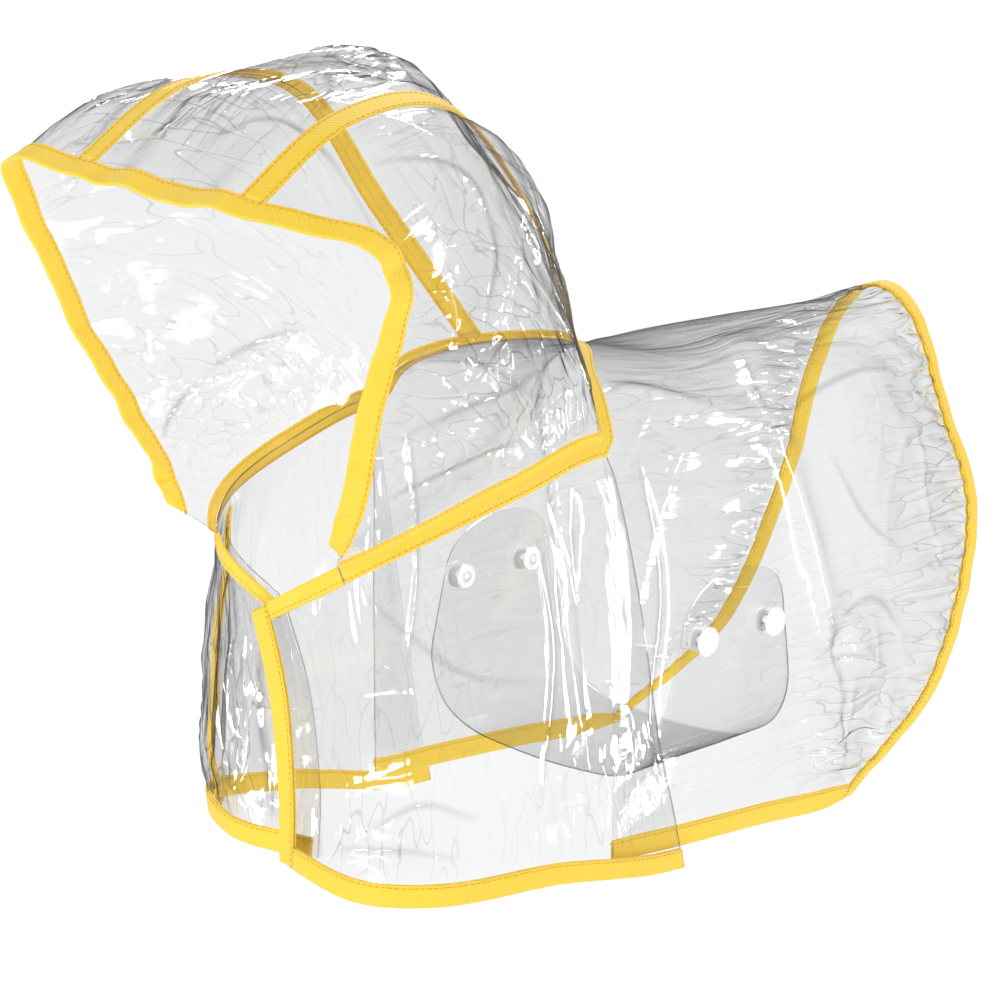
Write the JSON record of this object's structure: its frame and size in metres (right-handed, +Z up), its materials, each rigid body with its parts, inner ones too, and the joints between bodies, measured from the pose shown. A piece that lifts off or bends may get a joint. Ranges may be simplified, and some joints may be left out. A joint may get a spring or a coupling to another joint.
{
  "type": "hooded dog raincoat",
  "caption": "Hooded raincoat for a dog in clear film with yellow bound edges, held open in its worn form, with lapped front, belly strap and snaps.",
  "frame": {"origin": "middle of the neck seam on the back, where the coat rests on the wearer's withers", "axes": "+Z up, -Y towards the wearer's head, +Y towards the tail, +X towards the wearer's left"},
  "size_m": [0.206, 0.5378, 0.4093],
  "materials": {
    "clear_film": "clear glossy film",
    "binding": "woven yellow binding tape",
    "snap": "satin white"
  },
  "bodies": {
    "root": {"hood_left": "clear_film", "hood_crown": "clear_film", "hood_right": "clear_film", "front_left": "clear_film", "front_right": "clear_film", "back_panel_left": "clear_film", "back_panel_right": "clear_film", "belly_strap": "clear_film", "hood_face_binding": "binding", "hood_seam_tape_left": "binding", "hood_seam_tape_right": "binding", "neck_seam_tape": "binding", "front_edge_binding_left": "binding", "front_edge_binding_right": "binding", "front_hem_binding_left": "binding", "front_hem_binding_right": "binding", "neck_edge_binding_left": "binding", "neck_edge_binding_right": "binding", "back_hem_binding_left": "binding", "back_hem_binding_right": "binding", "rear_binding": "binding", "snap_cap_left_front": "snap", "snap_socket_left_front": "snap", "snap_cap_left_rear": "snap", "snap_socket_left_rear": "snap", "snap_cap_right_front": "snap", "snap_socket_right_front": "snap", "snap_cap_right_rear": "snap", "snap_socket_right_rear": "snap"}
  },
  "joints": []
}
